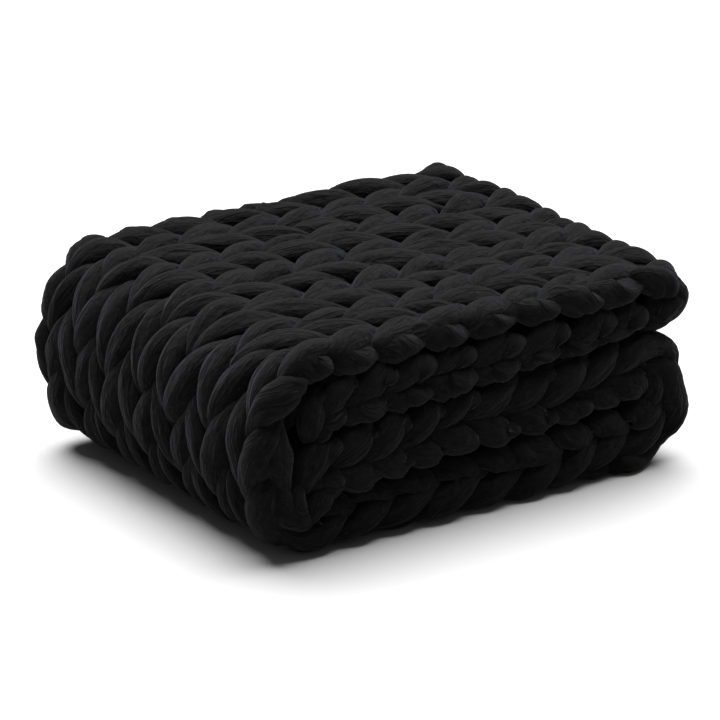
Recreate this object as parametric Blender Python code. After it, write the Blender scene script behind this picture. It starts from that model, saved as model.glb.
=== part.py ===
"""A chunky hand-knitted weighted blanket, folded into a stack of four layers.

The blanket is one strip of thick stocking stitch, so it is one solid. A line in the XZ plane
follows the strip from one cut end to the other: layer B, round a turn on the right up to the
top layer A, round the big wrap on the left down to the bottom layer D, round a turn on the
right up to layer C. The knitting is swept along that line. Metres, +Z up; the wales (the
columns of V stitches) run along X and over the folds, and the origin is under the middle.
"""

from bisect import bisect_right
from collections import namedtuple
from math import cos, exp, hypot, pi, radians, sin

import bpy

# The knitting
WIDTH = 0.49  # from selvedge to selvedge, along Y
WALES = 8  # columns of V stitches across the width
RELIEF = 0.011  # how far a stitch's leg stands above the creases round it
CREASE = 0.6  # how low the two ends of a leg's crest are, as a share of RELIEF
SHEAR = 0.8  # how far a V's arms trail behind its point, in courses
RIDGE = 0.29  # the two sides of a leg's crest lie this far from its middle, in courses
TIP_COURSES = 1.5  # the stitches fade out over this many courses at the two cut ends
FLIP_COURSES = 3.0  # the stitches change direction over this many courses
FLIP_AT = 9.0  # the course, in the middle of that change, counted from the end of layer B
FINEST = 60  # points on each turn or run of the fold line

# Each turn of the fold line is part of an ellipse, and a straight run joins it to the next.
Turn = namedtuple("Turn", "name x z across up start end courses run_after")
TURNS = (
    Turn("end of layer B", -0.185, 0.135, 0.045, 0.045, 120, 90, 1.0, 7.5),
    Turn("right turn, B to A", 0.257, 0.20875, 0.025, 0.02175, -90, 90, 2.0, 7.5),
    Turn("left wrap, upper half", -0.207, 0.1425, 0.068, 0.088, 90, 180, 1.8, 0.4),
    Turn("left wrap, lower half", -0.207, 0.118, 0.068, 0.085, 180, 270, 1.8, 8.0),
    Turn("right turn, D to C", 0.2285, 0.0855, 0.043, 0.0435, -90, 90, 2.0, 8.5),
    Turn("end of layer C", -0.176, 0.0675, 0.039, 0.039, 90, 140, 1.5, 0.0),
)

# What the strip measures at the start and at the end of each turn. corner is the radius of its
# rounded edges, and near and far are how far they stand back from WIDTH. roll_near and roll_far
# are how far round the edge, from its middle to the stitched face, the outermost wale lies.
Place = namedtuple("Place", "name thickness corner near far roll_near roll_far")
PLACES = (
    Place("B, cut end", 0.042, 0.017, 0.012, 0.010, -0.074, 0.028),
    Place("B, left", 0.059, 0.017, 0.000, 0.004, -0.074, 0.028),
    Place("B, right", 0.039, 0.017, 0.006, 0.006, -0.074, 0.028),
    Place("A, right", 0.037, 0.017, 0.004, 0.004, -0.052, 0.015),
    Place("A, left", 0.037, 0.017, 0.008, 0.000, -0.052, 0.015),
    Place("wrap, above the middle", 0.0515, 0.017, 0.005, 0.000, -0.025, 0.030),
    Place("wrap, below the middle", 0.0515, 0.017, 0.005, 0.000, -0.025, 0.030),
    Place("D, left", 0.066, 0.017, 0.000, 0.000, -0.008, 0.000),
    Place("D, right", 0.084, 0.034, 0.008, 0.003, -0.008, 0.000),
    Place("C, right", 0.064, 0.024, 0.006, 0.006, 0.000, 0.000),
    Place("C, left", 0.068, 0.017, 0.003, 0.002, 0.000, 0.000),
    Place("C, cut end", 0.050, 0.017, 0.008, 0.008, 0.000, 0.000),
)

# The outside of the right turn from D to C sinks in along a waist between its two lobes.
WAIST_AT = 31.1  # its course
WAIST_DEPTH = 0.5  # the share of the outer half's thickness that it takes
WAIST_REACH = 0.2  # how far it reaches to each side, in courses

# Where the stitched face is pressed against another layer or the ground: on the straight run
# after a turn, starting this much later and ending this much sooner, in courses.
Pressed = namedtuple("Pressed", "after later sooner")
PRESSED = (
    Pressed("end of layer B", 0.0, 0.5),
    Pressed("left wrap, lower half", -0.8, 0.5),
    Pressed("right turn, D to C", 0.5, 0.0),
)
FACING = 0.9  # the face is pressed where its outward direction leans less than this cosine says

# The back of the strip is plain: points round it, from the far edge to the near edge, as
# shares of the way.
BACK = (0.10, 0.20, 0.35, 0.50, 0.65, 0.80, 0.90)
UNDERCUT = 0.45  # how far the plain side recedes where the edge wale has rolled up, per metre
PLAIN_DEPTH = 0.5  # how deep the plain back lies, as a share of RELIEF
# The rounding of a cut end, in degrees from the strip towards its very end.
END_STEPS = (30, 60)

Station = namedtuple("Station", "course x z thickness corner near far roll_near roll_far")


def mix(a, b, share):
    return a + (b - a) * share


def fold_line():
    """The stations of the strip's middle line, close together, with their course numbers."""
    stations, course, before = [], 0.0, None
    for number, turn in enumerate(TURNS):
        first, last = PLACES[2 * number], PLACES[2 * number + 1]
        for step in range(FINEST + 1):
            share = step / FINEST
            angle = radians(mix(turn.start, turn.end, share))
            x = turn.x + turn.across * cos(angle)
            z = turn.z + turn.up * sin(angle)
            measures = [mix(a, b, share) for a, b in zip(first[1:], last[1:])]
            station = Station(course + turn.courses * share, x, z, *measures)
            if step == 0 and before is not None and station.course > before.course:
                stations += run_between(before, station)
            stations.append(station)
        before = station
        course += turn.courses + turn.run_after
    return stations


def run_between(start, end):
    """The stations of a straight run, without its two ends."""
    shares = [step / FINEST for step in range(1, FINEST)]
    return [Station(*(mix(a, b, share) for a, b in zip(start, end))) for share in shares]


def run_after(name):
    """The first and the last course of the straight run after a turn."""
    course = 0.0
    for turn in TURNS:
        course += turn.courses
        if turn.name == name:
            break
        course += turn.run_after
    return course, course + turn.run_after


LINE = fold_line()
COURSES = [station.course for station in LINE]
TOTAL = COURSES[-1]


def station_at(course):
    """The station at a course number, read between two stations of the fold line."""
    course = min(max(course, 0.0), TOTAL)
    after = min(max(bisect_right(COURSES, course), 1), len(LINE) - 1)
    start, end = LINE[after - 1], LINE[after]
    share = (course - start.course) / (end.course - start.course)
    return Station(*(mix(a, b, share) for a, b in zip(start, end)))


def heading_at(course, reach=0.15):
    """The direction in which the strip runs, as a unit vector (x, z)."""
    back, ahead = station_at(course - reach), station_at(course + reach)
    length = hypot(ahead.x - back.x, ahead.z - back.z)
    return (ahead.x - back.x) / length, (ahead.z - back.z) / length


def sides_of(station):
    """Half the straight side, the length of a rounded corner and the length of the flat face."""
    flat = WIDTH - station.near - station.far - 2 * station.corner
    return station.thickness / 2 - station.corner, station.corner * pi / 2, flat


def round_the_section(along, station, squash=1.0):
    """A point on the strip's rounded outline and the outward direction there.

    along is the distance round the outline from the middle of the near edge, up over the
    stitched face. The result is (y, height above the middle line, direction y, direction up).
    """
    corner = station.corner
    side, quarter, flat = sides_of(station)
    near = -WIDTH / 2 + station.near + corner
    over = side + quarter  # to where the face is flat
    if along > over + flat / 2:  # the far half mirrors the near one
        far = WIDTH / 2 - station.far - corner
        y, up, side_out, out = round_the_section(2 * over + flat - along, station, squash)
        return far + near - y, up, -side_out, out
    turned = min(max(abs(along) - side, 0), quarter) / corner
    y = near - corner * cos(turned) + max(abs(along) - over, 0)
    up = min(abs(along), side) + corner * sin(turned)
    sign = 1 if along > 0 else -1
    return y, sign * up * squash, -cos(turned), sign * sin(turned)


def stitched_span(station):
    """Where the stitched face starts and ends on the outline, and one wale's width there."""
    side, quarter, flat = sides_of(station)
    first = station.roll_near
    last = 2 * (side + quarter) + flat - station.roll_far
    wale = (last - first) / (WALES - 1)
    return first - wale / 2, last + wale / 2, wale


def outline_length(station):
    side, quarter, flat = sides_of(station)
    return 4 * (side + quarter) + 2 * flat


def direction_at(course):
    """+1 where the V stitches point along the line, -1 where they point back along it."""
    share = (course - FLIP_AT) / FLIP_COURSES + 0.5
    return 2 * min(max(share, 0.0), 1.0) - 1


def fade_at(course):
    """0 at the two cut ends, 1 where the stitches have their full height."""
    return min(course / TIP_COURSES, (TOTAL - course) / TIP_COURSES, 1.0)


def is_pressed(course):
    """Whether the stitched face lies against another layer or the ground at a course."""
    for pressed in PRESSED:
        start, end = run_after(pressed.after)
        if start + pressed.later <= course <= end - pressed.sooner:
            return True
    return False


def pressed_depth(course, along, depth):
    """A point's depth as a share of RELIEF, where the strip may lie against another layer."""
    out = round_the_section(along, station_at(course))[3]
    if out < -FACING:
        return PLAIN_DEPTH
    return 0 if out > FACING and is_pressed(course) else depth


def waist_at(course):
    """The share of the outer half's thickness that the waist takes at a course."""
    return WAIST_DEPTH * exp(-(((course - WAIST_AT) / WAIST_REACH) ** 2))


def place(course, along, height, squash=1.0, ahead=0.0):
    """The point of the surface at a course and a distance round the outline."""
    station = station_at(course)
    run_x, run_z = heading_at(course)
    up_x, up_z = run_z, -run_x  # the stitched face is on the outside of the left wrap
    y, up, side, out = round_the_section(along, station, squash)
    if up > 0:
        up *= 1 - waist_at(course)
    up += height * out
    y += height * side
    return (station.x + up_x * up + run_x * ahead, y, max(station.z + up_z * up + run_z * ahead, 0))


def stitched_points(course, crest, squash, ahead, stitches):
    """One ring's points on the stitched face, from the near border to the far border."""
    points = []
    fade = max(fade_at(course), 0.0) * stitches
    for column in range(4 * WALES + 1):
        wale, corner = divmod(column, 4)
        from_point = abs(corner - 2) / 2  # 0 at the V's point, 1 at the border of the wale
        at = course - direction_at(course) * SHEAR * from_point * fade
        first, _, width = stitched_span(station_at(at))
        depth = (0 if crest else 1) if corner % 2 else (CREASE if crest else 1)
        along = first + width * column / 4
        depth = pressed_depth(at, along, depth)
        points.append(place(at, along, -RELIEF * depth, squash, ahead))
    return points


def back_points(course, squash, ahead):
    """One ring's points on the plain back, from the far border to the near border."""
    station = station_at(course)
    first, last, _ = stitched_span(station)
    way = first + outline_length(station) - last
    points = []
    for share in BACK:
        along = last + way * share
        if share > 0.5:
            along -= outline_length(station)
        depth = RELIEF * PLAIN_DEPTH
        if share in (BACK[0], BACK[-1]):
            depth += UNDERCUT * max(station.roll_near if share > 0.5 else station.roll_far, 0)
        points.append(place(course, along, -depth, squash, ahead))
    return points


def ring(course, crest=True, squash=1.0, ahead=0.0, stitches=1.0):
    front = stitched_points(course, crest, squash, ahead, stitches)
    return front + back_points(course, squash, ahead)


def end_rings(course, sign):
    """The rings that round off a cut end, outwards from the strip."""
    radius = station_at(course).thickness / 2
    rings = []
    for step in END_STEPS:
        angle = radians(step)
        ahead = sign * radius * sin(angle)
        rings.append(ring(course, squash=cos(angle), ahead=ahead, stitches=0.0))
    return rings


def strip_rings():
    body = [ring(0.0)]
    for number in range(int(TOTAL)):
        middle = number + 0.5
        body += [ring(middle - RIDGE), ring(middle + RIDGE), ring(number + 1.0, crest=False)]
    return end_rings(0.0, -1)[::-1] + body + end_rings(TOTAL, 1)


def blanket_mesh():
    rings = strip_rings()
    size = len(rings[0])
    points = [point for one in rings for point in one]
    middle = (min(p[0] for p in points) + max(p[0] for p in points)) / 2
    points = [(x - middle, y, z) for x, y, z in points]
    faces = [tuple(reversed(range(size))), tuple(range(len(points) - size, len(points)))]
    for row in range(len(rings) - 1):
        for column in range(size):
            beside = (column + 1) % size
            low, high = row * size, (row + 1) * size
            faces.append((low + column, low + beside, high + beside, high + column))
    mesh = bpy.data.meshes.new("blanket")
    mesh.from_pydata(points, [], faces)
    mesh.update()
    return mesh


def yarn_material():
    """Matt charcoal cotton yarn."""
    material = bpy.data.materials.new("charcoal cotton yarn")
    material.use_nodes = True
    shader = material.node_tree.nodes["Principled BSDF"]
    shader.inputs["Base Color"].default_value = (0.022, 0.022, 0.025, 1)
    shader.inputs["Roughness"].default_value = 0.9
    shader.inputs["Metallic"].default_value = 0
    return material


def clear_scene():
    for thing in list(bpy.data.objects):
        bpy.data.objects.remove(thing, do_unlink=True)


def build():
    clear_scene()
    mesh = blanket_mesh()
    mesh.materials.append(yarn_material())
    mesh.shade_smooth()
    blanket = bpy.data.objects.new("blanket", mesh)
    bpy.context.scene.collection.objects.link(blanket)


build()
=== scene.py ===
"""The looks of the folded chunky-knit blanket: its yarn, stitch by stitch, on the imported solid's folds.

The yarn runs to and fro across the strip, row after row, and every stitch is a real loop: two
plump legs in front that make the V, and a head and two feet behind them. The loops are laid out
on the flat strip in courses and wales, and carried onto the fold line that the solid follows.
"""

from math import cos, pi, radians, sin

import bpy
import numpy as np
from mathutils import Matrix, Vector


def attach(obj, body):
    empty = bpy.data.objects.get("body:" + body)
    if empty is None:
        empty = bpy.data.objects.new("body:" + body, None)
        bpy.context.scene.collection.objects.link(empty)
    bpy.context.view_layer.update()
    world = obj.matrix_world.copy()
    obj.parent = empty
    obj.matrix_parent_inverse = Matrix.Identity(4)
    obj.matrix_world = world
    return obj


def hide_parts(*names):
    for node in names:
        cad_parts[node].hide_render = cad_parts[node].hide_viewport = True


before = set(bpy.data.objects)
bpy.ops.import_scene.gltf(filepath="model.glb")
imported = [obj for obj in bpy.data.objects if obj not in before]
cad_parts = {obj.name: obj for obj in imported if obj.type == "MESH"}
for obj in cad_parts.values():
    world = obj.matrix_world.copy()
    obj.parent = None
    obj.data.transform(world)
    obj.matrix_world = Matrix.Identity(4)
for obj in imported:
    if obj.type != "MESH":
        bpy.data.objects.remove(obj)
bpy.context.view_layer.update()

# ---------------------------------------------------------------- the strip, as in the solid
WIDTH = 0.49  # from selvedge to selvedge, along Y
WALES = 8
TO_MIDDLE = -0.001468  # the solid's own middle lies this far from the fold line's zero

# name, x, z, across, up, start, end, courses, run_after: the turns of the fold line
TURNS = (
    ("end of layer B", -0.190, 0.132, 0.037, 0.048, 180, 90, 2.0, 7.5),
    ("right turn, B to A", 0.257, 0.20875, 0.025, 0.02175, -90, 90, 2.0, 7.5),
    ("left wrap, upper half", -0.207, 0.1425, 0.068, 0.088, 90, 180, 1.8, 0.4),
    ("left wrap, lower half", -0.207, 0.118, 0.068, 0.085, 180, 270, 1.8, 8.0),
    ("right turn, D to C", 0.2285, 0.0865, 0.043, 0.0425, -90, 90, 2.0, 8.5),
    ("end of layer C", -0.188, 0.0675, 0.039, 0.039, 90, 215, 2.5, 0.0),
)
# thickness, corner, near, far, roll_near, roll_far at the start and the end of each turn
PLACES = (
    (0.054, 0.013, 0.008, 0.008, -0.0695, 0.021),
    (0.067, 0.013, 0.001, 0.004, -0.0695, 0.021),
    (0.044, 0.012, 0.003, 0.006, -0.0695, 0.021),
    (0.042, 0.015, 0.002, 0.022, -0.0695, 0.012),
    (0.042, 0.015, 0.004, 0.006, -0.0695, 0.012),
    (0.0515, 0.022, 0.004, 0.006, -0.0250, 0.014),
    (0.0515, 0.022, 0.004, 0.006, -0.0250, 0.014),
    (0.070, 0.026, 0.006, 0.012, -0.0100, 0.000),
    (0.092, 0.014, 0.002, 0.003, -0.0100, 0.000),
    (0.088, 0.013, 0.001, 0.006, 0.0000, 0.000),
    (0.080, 0.014, 0.001, 0.002, 0.0000, 0.000),
    (0.062, 0.014, 0.004, 0.008, 0.0000, 0.000),
)
FIRST_COURSE = -1.0  # where the end of layer B starts
FINEST = 60  # points on each turn or run
HEADING_REACH = 0.12  # the strip's direction is taken this many courses to each side
WAIST_AT, WAIST_DEPTH, WAIST_REACH = 31.1, 0.5, 0.2  # between the lobes of the turn from D to C

# ---------------------------------------------------------------- one stitch
# Half a stitch's yarn, from the middle of its left foot to the middle of its head.
# across: wales from the V's middle line. along: courses from the V's point towards its arms.
# depth: 0 in front, 1 behind. radius: the yarn's half width.
HALF_LOOP = np.array((
    # across, along, depth, radius
    (-0.50, -0.56, 0.95, 0.0125),
    (-0.24, -0.70, 0.80, 0.0120),
    (-0.03, -0.54, 0.30, 0.0098),
    (-0.115, -0.17, 0.04, 0.0158),
    (-0.245, 0.22, 0.00, 0.0196),
    (-0.362, 0.61, 0.06, 0.0156),
    (-0.465, 0.98, 0.32, 0.0082),
    (-0.30, 1.13, 0.80, 0.0120),
    (0.00, 1.06, 0.85, 0.0140),
))
SAMPLES = (1, 2, 5, 6, 6, 5, 2, 1)  # rings of the tube from each of those points to the next
ROW_LINK_RINGS = 3  # and from the end of one row to the start of the next
LEG_START, LEG_END = 2, 6  # the leg lies between these two points
LEG_POINTS = LEG_END - LEG_START + 1
LEG_MIDDLE = (LEG_START + LEG_END) // 2  # where the leg is plumpest
LOOP_POINTS = 2 * len(HALF_LOOP) - 1  # the two halves share the middle of the head
FRONT = 0.0145  # how deep the yarn's middle lies where a leg is in front
DIVE = 0.021  # and how much deeper it lies where it is behind
FLATTEN = 0.80  # the yarn is this much thinner than wide
TIGHTEST = 0.003  # the tightest turn the yarn's middle makes round an edge of the strip
THINNER, THINNEST = 0.5, 0.004  # where there's no room to dive the yarn is narrower instead
SQUEEZE_RATE = 1.2  # how quickly, round an edge, that room shrinks to half the strip's thickness
SIDES = 24
EVENING_PASSES = 3  # how often the yarn's turns are evened out where it dives
FACE_SHARE = 0.35  # how much closer together the tube's points are on its front
POINT_LAG = 0.42  # the V's point lies this far past its row's number

# name, first row, row after the last: each piece is one length of yarn
PIECES = (
    ("knit_layer_b", -1, 8),
    ("knit_layer_a", 8, 17),
    ("knit_wrap", 17, 26),
    ("knit_layer_d", 26, 35),
    ("knit_layer_c", 35, 43),
)
FIRST_FORWARD_ROW = 9  # the rows before this one point back along the fold line

# ---------------------------------------------------------------- unevenness
SEED = 11
LUMP_SEED = 1100
# how much the legs differ: the standard deviations of each leg's shifts, in courses, wales and
# depth, of its slants in depth and wales, and of its girth, as a share, which is also limited
ALONG_SPREAD, ACROSS_SPREAD, DEPTH_SPREAD = 0.05, 0.02, 0.05
DEPTH_SLANT, ACROSS_SLANT = 0.06, 0.025
GIRTH_SPREAD, LEAST_GIRTH, MOST_GIRTH = 0.07, -0.14, 0.12
# waves of courses per wave, wales per wave, phase, and how far they shift the stitches along and
# across the strip, in courses and wales
WANDER = (
    (9.0, 3.1, 0.4, 0.10, 0.03),
    (5.3, -5.2, 2.1, 0.05, 0.04),
    (14.0, 6.0, 1.0, 0.10, 0.06),
)
# lobes round the yarn, and how far they swell as a share of its radius
LOBES = ((2, 0.045), (3, 0.035), (4, 0.03), (5, 0.022), (7, 0.016))
LOBE_SPACING = 0.05  # metres of yarn from one change of the lobes to the next
LOBE_DRIFT = 0.9  # how far they turn between changes, in radians
# soft folds along each leg: how many, how far round from its front, how they wind in radians per
# metre, how deep as a share of the radius, how wide in radians, and where and how long in metres
FEWEST_FOLDS, MOST_FOLDS = 1, 3
FOLD_ROUND, FOLD_WINDING = 0.75, 9
FOLD_DEEP, FOLD_WIDE = (0.05, 0.16), (0.24, 0.36)
FOLD_SHIFT, FOLD_REACH = 0.014, (0.016, 0.036)
FOLD_SHARPNESS = 1.4  # 2 would be a round-bottomed fold, and less is a sharper one
FOLD_CUT_OFF = 2  # a fold isn't reckoned further from its middle than this many reaches


def fold_line():
    """Rows of course, x, z and the measures in PLACES, close together along the strip."""
    parts, course = [], FIRST_COURSE
    for number, (_, x, z, across, up, start, end, courses, run_after) in enumerate(TURNS):
        share = np.linspace(0, 1, FINEST + 1)[:, None]
        angle = np.radians(start + (end - start) * share)
        first, last = np.array(PLACES[2 * number]), np.array(PLACES[2 * number + 1])
        turn = np.hstack([
            course + courses * share,
            x + across * np.cos(angle),
            z + up * np.sin(angle),
            first + (last - first) * share,
        ])
        if parts and turn[0, 0] > parts[-1][-1, 0]:
            before = parts[-1][-1]
            parts.append(before + (turn[0] - before) * share[1:-1])
        parts.append(turn)
        course += courses + run_after
    return np.vstack(parts)


LINE = fold_line()
LAST_COURSE = LINE[-1, 0]


def stations(course):
    """The strip's measures at these courses, kept within its two ends."""
    inside = np.clip(course, FIRST_COURSE, LAST_COURSE)
    return inside, np.stack([np.interp(inside, LINE[:, 0], column) for column in LINE.T[1:]])


def headings(course):
    """The direction in which the strip runs, as x and z, and its metres per course."""
    middle = np.clip(course, FIRST_COURSE + HEADING_REACH, LAST_COURSE - HEADING_REACH)
    back, ahead = stations(middle - HEADING_REACH), stations(middle + HEADING_REACH)
    step = ahead[1][:2] - back[1][:2]
    length = np.hypot(*step)
    return step / length, length / (ahead[0] - back[0])


def on_the_strip(course, wale, metres):
    """Points, the directions straight out of the strip, and how far each was pressed back up.

    wale counts from the near selvedge, 0, to the far one, 8. metres is how deep a point lies
    under the stitched face.
    """
    inside, (x, z, thickness, corner, near, far, roll_near, roll_far) = stations(course)
    (run_x, run_z), pitch = headings(course)
    # the stitches are spaced out evenly where the yarn's middle runs, inside the rounded corner
    side, bend = thickness / 2 - corner, np.maximum(corner - FRONT, TIGHTEST)
    quarter = bend * pi / 2
    low, high = -WIDTH / 2 + near + corner, WIDTH / 2 - far - corner
    flat = high - low
    whole = 2 * (side + quarter) + flat
    width = (whole - roll_far - roll_near) / (WALES - 1)
    along = roll_near + width * (wale - 0.5)
    # the far half of the section mirrors the near one
    mirrored = along > whole / 2
    along = np.where(mirrored, whole - along, along)
    sign = np.where(along > 0, 1, -1)
    turned = np.clip(np.abs(along) - side, 0, quarter) / bend
    y = low - corner * np.cos(turned) + np.maximum(np.abs(along) - side - quarter, 0)
    up = sign * (np.minimum(np.abs(along), side) + corner * np.sin(turned))
    across, out = -np.cos(turned), sign * np.sin(turned)
    y, across = np.where(mirrored, low + high - y, y), np.where(mirrored, -across, across)
    waist = WAIST_DEPTH * np.exp(-(((inside - WAIST_AT) / WAIST_REACH) ** 2))
    up = np.where(up > 0, up * (1 - waist), up)
    # round the edge and under it there is only half the strip's thickness for the yarn
    squeeze = np.clip(SQUEEZE_RATE * (1 - out), 0, 1)
    room = FRONT + DIVE + (thickness / 2 - FRONT - DIVE) * squeeze
    pressed = np.maximum(metres - room, 0)
    metres = metres - pressed
    y = y - metres * across
    up = up - metres * out
    ahead = (course - inside) * pitch
    point = (x + run_z * up + run_x * ahead + TO_MIDDLE, y, z - run_x * up + run_z * ahead)
    return np.stack(point, axis=1), np.stack((run_z * out, across, -run_x * out), axis=1), pressed


def catmull_rom(points, counts):
    """Points on a smooth curve through the given ones, with so many for each stretch."""
    padded = np.vstack([2 * points[0] - points[1], points, 2 * points[-1] - points[-2]])
    curve = []
    for number, count in enumerate(counts):
        a, b, c, d = padded[number : number + 4]
        t = (np.arange(count) / count)[:, None]
        curve.append(0.5 * (
            2 * b
            + (c - a) * t
            + (2 * a - 5 * b + 4 * c - d) * t**2
            + (3 * b - a - 3 * c + d) * t**3
        ))
    curve.append(points[-1:])
    return np.vstack(curve)


def loop_points(row, wale, chance):
    """One stitch's points in courses, wales, depth and radius, from its left foot to its right foot."""
    half = HALF_LOOP.copy()
    mirrored = half[-2::-1].copy()
    mirrored[:, 0] *= -1
    loop = np.vstack([half, mirrored])
    forward = row >= FIRST_FORWARD_ROW
    point_at = row + (POINT_LAG if forward else 1 - POINT_LAG)
    placed = np.empty_like(loop)
    placed[:, 0] = point_at + (-loop[:, 1] if forward else loop[:, 1])
    placed[:, 1] = wale + 0.5 + loop[:, 0]
    placed[:, 2:] = loop[:, 2:]
    # no two stitches are alike
    slant = np.linspace(-1, 1, LEG_POINTS)
    for start in (LEG_START, LOOP_POINTS - 1 - LEG_END):
        leg = slice(start, start + LEG_POINTS)
        inner = slice(start + 1, start + LEG_POINTS - 1)
        placed[leg, 0] += chance.normal(0, ALONG_SPREAD)
        placed[leg, 1] += chance.normal(0, ACROSS_SPREAD)
        placed[leg, 3] *= 1 + np.clip(chance.normal(0, GIRTH_SPREAD), LEAST_GIRTH, MOST_GIRTH)
        placed[inner, 2] += chance.normal(0, DEPTH_SPREAD)
        placed[leg, 2] += slant * chance.normal(0, DEPTH_SLANT)
        placed[leg, 1] += slant * chance.normal(0, ACROSS_SLANT)
    return placed


def wander(points):
    """Shifts courses and wales a little, together over a few stitches, as hand knitting does."""
    shifted = points.copy()
    for by_course, by_wale, phase, along, across in WANDER:
        wave = np.sin(2 * pi * (points[:, 0] / by_course + points[:, 1] / by_wale) + phase)
        shifted[:, 0] += along * wave
        shifted[:, 1] += across * wave
    return shifted


def yarn_points(first_row, row_after):
    """A length of yarn to and fro across these rows: its points, its legs and its rings' counts.

    legs holds the number of the point in the middle of each leg.
    """
    chance = np.random.default_rng(SEED + first_row)
    points, legs, counts = [], [], []
    stretches = list(SAMPLES) + list(SAMPLES[::-1])
    for row in range(first_row, row_after):
        wales = range(WALES) if (row - first_row) % 2 == 0 else range(WALES - 1, -1, -1)
        for wale in wales:
            loop = loop_points(row, wale, chance)
            if (row - first_row) % 2:
                loop = loop[::-1]
            if points and wale != wales[0]:
                loop = loop[1:]  # the foot is the one before's
            elif points:
                counts.append(ROW_LINK_RINGS)
            before = len(points) + len(loop) - LOOP_POINTS
            legs += [before + LEG_MIDDLE, before + LOOP_POINTS - 1 - LEG_MIDDLE]
            points += list(loop)
            counts += stretches
    return wander(np.array(points)), legs, counts


def swept_yarn(first_row, row_after):
    """Vertices, faces and the yarn's own coordinates of one length of yarn."""
    points, legs, counts = yarn_points(first_row, row_after)
    curve = catmull_rom(points, counts)
    centre, outward, pressed = on_the_strip(curve[:, 0], curve[:, 1], FRONT + DIVE * curve[:, 2])
    radius = np.maximum(curve[:, 3] - THINNER * pressed, THINNEST)
    ahead = np.gradient(centre, axis=0)
    step = np.linalg.norm(ahead, axis=1)
    tangent = ahead / step[:, None]
    front = outward - tangent * (outward * tangent).sum(1)[:, None]
    for _ in range(EVENING_PASSES):
        front[1:-1] = (front[:-2] + 2 * front[1:-1] + front[2:]) / 4
        front -= tangent * (front * tangent).sum(1)[:, None]
    front /= np.linalg.norm(front, axis=1)[:, None]
    aside = np.cross(tangent, front)
    even = 2 * pi * np.arange(SIDES) / SIDES
    angle = even + FACE_SHARE * np.cos(even)
    length = np.concatenate([[0], np.cumsum(np.linalg.norm(np.diff(centre, axis=0), axis=1))])

    swell = lumps(length, angle, radius, legs, counts, first_row)
    reach = radius[:, None] * (1 + swell)
    across, out = reach * np.cos(angle), reach * np.sin(angle) * FLATTEN
    vertices = centre[:, None] + across[..., None] * aside[:, None] + out[..., None] * front[:, None]
    vertices[..., 2] = np.maximum(vertices[..., 2], 0.0)
    strand = np.stack([
        np.broadcast_to(length[:, None], across.shape),
        radius[:, None] * np.cos(angle),
        radius[:, None] * np.sin(angle),
    ], axis=-1)
    rings = len(centre)
    here = (np.arange(rings - 1)[:, None] * SIDES + np.arange(SIDES)).ravel()
    beside = (np.arange(rings - 1)[:, None] * SIDES + (np.arange(SIDES) + 1) % SIDES).ravel()
    quads = np.stack([here, beside, beside + SIDES, here + SIDES], axis=1)
    caps = [list(range(SIDES))[::-1], [(rings - 1) * SIDES + side for side in range(SIDES)]]
    return vertices.reshape(-1, 3), quads.tolist() + caps, strand.reshape(-1, 3)


def lumps(length, angle, radius, legs, counts, first_row):
    """How much the yarn's outline swells or sinks, as a share of its radius."""
    chance = np.random.default_rng(LUMP_SEED + first_row)
    knots = np.arange(0, length[-1] + LOBE_SPACING, LOBE_SPACING)
    total = np.zeros((len(length), len(angle)))
    for lobes, size in LOBES:
        phase = np.interp(length, knots, np.cumsum(chance.normal(0, LOBE_DRIFT, len(knots))))
        height = np.interp(length, knots, size * chance.normal(0, 1, len(knots)))
        total += height[:, None] * np.cos(lobes * angle + phase[:, None])
    # folds along the legs, where the stuffed tube has creased
    starts = np.concatenate([[0], np.cumsum(counts)])
    for leg in legs:
        middle = length[starts[leg]]
        for _ in range(chance.integers(FEWEST_FOLDS, MOST_FOLDS + 1)):
            where = pi / 2 + chance.normal(0, FOLD_ROUND)
            winding = chance.normal(0, FOLD_WINDING)
            deep = chance.uniform(*FOLD_DEEP)
            wide = chance.uniform(*FOLD_WIDE)
            shift = chance.normal(0, FOLD_SHIFT)
            reach = chance.uniform(*FOLD_REACH)
            near = np.abs(length - middle - shift) < FOLD_CUT_OFF * reach
            off = angle[None] - where - winding * (length[near] - middle)[:, None]
            fold = np.exp(-np.abs(off / wide) ** FOLD_SHARPNESS)
            fold *= np.exp(-(((length[near] - middle - shift) / reach) ** 2))[:, None]
            total[near] -= deep * fold
    return total


# ---------------------------------------------------------------- the yarn's surface
# Noise on the yarn's own coordinates: waves per metre along it and both ways across it, detail,
# and roughness
FIBRES = (90, 420, 420), 4, 0.55
SLUBS = (25, 90, 90), 3, 0.55
FLECKS = (260, 420, 420), 2, 0.55
WRINKLES = (85, 130, 130), 3, 0.5
FOLDS = (13, 105, 105), 0, 0.55
MOTTLE = (130, 170, 170), 4, 0.7
FUZZ = (300, 1500, 1500), 3, 0.55

DARK_COTTON, LIGHT_COTTON = (0.0022, 0.0022, 0.0024), (0.0038, 0.0038, 0.0041)
FLECK_COLOUR = (0.032, 0.032, 0.034, 1)
SHEEN_TINT = (0.75, 0.77, 0.85, 1)
# where on each noise the tones lie, and the colours or greys there
TONE = ((0.3, DARK_COTTON), (0.7, LIGHT_COTTON))
GRAIN = ((0.25, 0.93), (0.75, 1.07))
PATCHES = ((0.36, 0.55), (0.64, 1.45))
CREASE = ((0.35, 1.0), (0.43, 0.0), (0.51, 1.0))
# the next ramp is painted shade: it darkens the base colour along the creases that the folds noise marks,
# where shade falls
PAINTED_CREASE_SHADE = ((0.38, 1.0), (0.43, 0.42), (0.48, 1.0))
FLECK = ((0.68, 0.0), (0.76, 0.5))
# how high each bump stands in metres, and its strength
CREASE_BUMP, WRINKLE_BUMP = (0.0014, 0.5), (0.0040, 0.7)
FIBRE_BUMP, FUZZ_BUMP = (0.0005, 0.4), (0.0004, 0.5)


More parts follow.
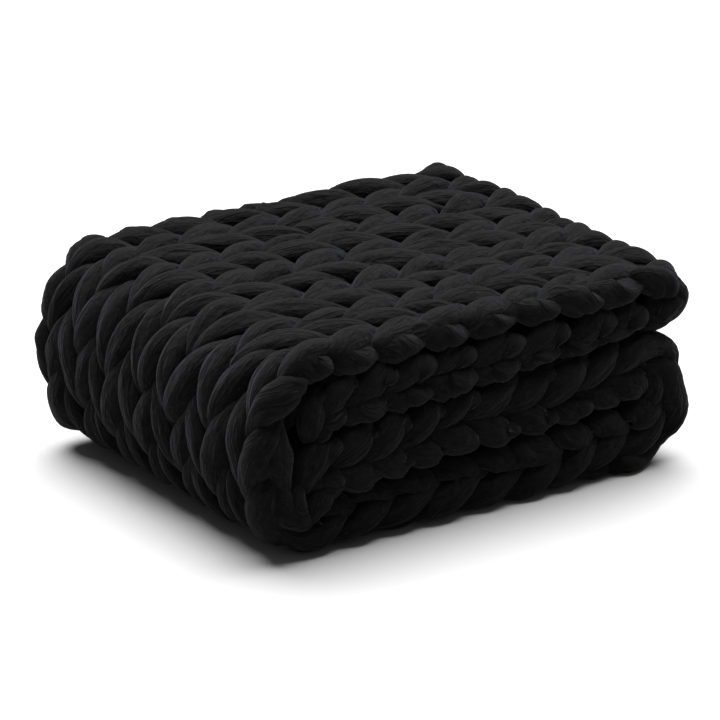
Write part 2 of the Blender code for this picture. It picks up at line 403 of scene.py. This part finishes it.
def yarn_material():
    """Charcoal cotton: a matt jersey tube with fine lengthwise fibres, slubs, light flecks and mottled
    tone, with painted shade darkening its creases.
    """
    material = bpy.data.materials.new("charcoal yarn")
    material.use_nodes = True
    nodes, links = material.node_tree.nodes, material.node_tree.links
    shader = nodes["Principled BSDF"]
    shader.inputs["Roughness"].default_value = 0.92
    shader.inputs["Specular IOR Level"].default_value = 0.07
    shader.inputs["Sheen Weight"].default_value = 0.04
    shader.inputs["Sheen Roughness"].default_value = 0.45
    shader.inputs["Sheen Tint"].default_value = SHEEN_TINT
    strand = nodes.new("ShaderNodeAttribute")
    strand.attribute_name = "strand"

    def stretched(scale, detail, roughness):
        mapping = nodes.new("ShaderNodeMapping")
        mapping.inputs["Scale"].default_value = scale
        links.new(strand.outputs["Vector"], mapping.inputs["Vector"])
        noise = nodes.new("ShaderNodeTexNoise")
        noise.inputs["Scale"].default_value = 1.0
        noise.inputs["Detail"].default_value = detail
        noise.inputs["Roughness"].default_value = roughness
        links.new(mapping.outputs["Vector"], noise.inputs["Vector"])
        return noise.outputs["Fac"]

    def ramp(value, stops):
        node = nodes.new("ShaderNodeValToRGB")
        elements = node.color_ramp.elements
        for number, (at, tone) in enumerate(stops):
            element = elements[number] if number < 2 else elements.new(at)
            element.position = at
            element.color = (*(tone if isinstance(tone, tuple) else (tone, tone, tone)), 1)
        links.new(value, node.inputs["Fac"])
        return node.outputs["Color"]

    def product(first, second):
        mixed = nodes.new("ShaderNodeMix")
        mixed.data_type, mixed.blend_type = "RGBA", "MULTIPLY"
        mixed.inputs["Factor"].default_value = 1.0
        links.new(first, mixed.inputs["A"])
        links.new(second, mixed.inputs["B"])
        return mixed.outputs["Result"]

    fibres, folds = stretched(*FIBRES), stretched(*FOLDS)
    cotton = product(ramp(stretched(*SLUBS), TONE), ramp(fibres, GRAIN))
    # random mottled tone, times painted shade along the creases
    mottle_and_painted_crease_shade = product(ramp(stretched(*MOTTLE), PATCHES), ramp(folds, PAINTED_CREASE_SHADE))
    flecked = nodes.new("ShaderNodeMix")
    flecked.data_type = "RGBA"
    links.new(ramp(stretched(*FLECKS), FLECK), flecked.inputs["Factor"])
    links.new(product(cotton, mottle_and_painted_crease_shade), flecked.inputs["A"])
    flecked.inputs["B"].default_value = FLECK_COLOUR
    links.new(flecked.outputs["Result"], shader.inputs["Base Color"])

    def bumped(height, distance, strength, below=None):
        bump = nodes.new("ShaderNodeBump")
        bump.inputs["Distance"].default_value = distance
        bump.inputs["Strength"].default_value = strength
        links.new(height, bump.inputs["Height"])
        if below is not None:
            links.new(below, bump.inputs["Normal"])
        return bump.outputs["Normal"]

    normal = bumped(ramp(folds, CREASE), *CREASE_BUMP)
    normal = bumped(stretched(*WRINKLES), *WRINKLE_BUMP, normal)
    normal = bumped(fibres, *FIBRE_BUMP, normal)
    normal = bumped(stretched(*FUZZ), *FUZZ_BUMP, normal)
    links.new(normal, shader.inputs["Normal"])
    return material


def add_knit():
    """Adds the five lengths of yarn, attached to the root body, and hides the solid that they stand for.
    """
    material = yarn_material()
    pieces = []
    for name, first_row, row_after in PIECES:
        vertices, faces, strand = swept_yarn(first_row, row_after)
        mesh = bpy.data.meshes.new(name)
        mesh.from_pydata(vertices.tolist(), [], faces)
        attribute = mesh.attributes.new("strand", "FLOAT_VECTOR", "POINT")
        attribute.data.foreach_set("vector", strand.astype(np.float32).ravel())
        mesh.shade_smooth()
        mesh.materials.append(material)
        piece = bpy.data.objects.new(name, mesh)
        bpy.context.scene.collection.objects.link(piece)
        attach(piece, "root")
        pieces.append(piece)
    for piece in pieces:
        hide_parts("blanket")


# ---------------------------------------------------------------- the studio
FLOOR_REACH = 8.0  # metres from the middle to each side
FLOOR_COLOUR, FLOOR_ROUGHNESS = (0.42, 0.42, 0.42, 1), 0.8
WHITE = (1, 1, 1, 1)
ROOM_LIGHT = 0.15
LAMP_STRENGTH, LAMP_SPREAD = 10.0, 68  # the spread is in degrees: wide, for soft shadows
LAMP_FROM = (0.15, 0.26, 1.0)


def add_floor():
    material = bpy.data.materials.new("pale floor")
    material.use_nodes = True
    shader = material.node_tree.nodes["Principled BSDF"]
    shader.inputs["Base Color"].default_value = FLOOR_COLOUR
    shader.inputs["Roughness"].default_value = FLOOR_ROUGHNESS
    corners = [(FLOOR_REACH * x, FLOOR_REACH * y, 0) for x, y in ((-1, -1), (1, -1), (1, 1), (-1, 1))]
    mesh = bpy.data.meshes.new("floor")
    mesh.from_pydata(corners, [], [(0, 1, 2, 3)])
    mesh.materials.append(material)
    floor = bpy.data.objects.new("floor", mesh)
    bpy.context.scene.collection.objects.link(floor)


def add_lights():
    world = bpy.data.worlds.new("studio")
    world.use_nodes = True
    background = world.node_tree.nodes["Background"]
    background.inputs["Color"].default_value = WHITE
    background.inputs["Strength"].default_value = ROOM_LIGHT
    bpy.context.scene.world = world
    lamp = bpy.data.lights.new("overhead light", "SUN")
    lamp.energy, lamp.angle = LAMP_STRENGTH, radians(LAMP_SPREAD)
    light = bpy.data.objects.new("overhead light", lamp)
    light.rotation_mode = "QUATERNION"
    light.rotation_quaternion = Vector(LAMP_FROM).to_track_quat("Z", "Y")
    bpy.context.scene.collection.objects.link(light)


# The camera, as fitted to the outline: degrees round from -Y, degrees up, metres, millimetres
AZIMUTH, ELEVATION, DISTANCE, LENS = -35.16, 20.75, 5.369, 230.6
AIM = (0.0022, 0.0, 0.1152)
SENSOR_WIDTH = 36
NEAREST_SEEN, FARTHEST_SEEN = 0.1, 60


def add_camera():
    around, above = radians(AZIMUTH), radians(ELEVATION)
    back = Vector((sin(around) * cos(above), -cos(around) * cos(above), sin(above)))
    camera = bpy.data.cameras.new("camera")
    camera.lens, camera.sensor_width = LENS, SENSOR_WIDTH
    camera.clip_start, camera.clip_end = NEAREST_SEEN, FARTHEST_SEEN
    view = bpy.data.objects.new("camera", camera)
    view.location = Vector(AIM) + back * DISTANCE
    view.rotation_mode = "QUATERNION"
    view.rotation_quaternion = (-back).to_track_quat("-Z", "Y")
    bpy.context.scene.collection.objects.link(view)
    bpy.context.scene.camera = view


add_knit()
add_floor()
add_lights()
add_camera()
bpy.context.scene.view_settings.view_transform = "Standard"
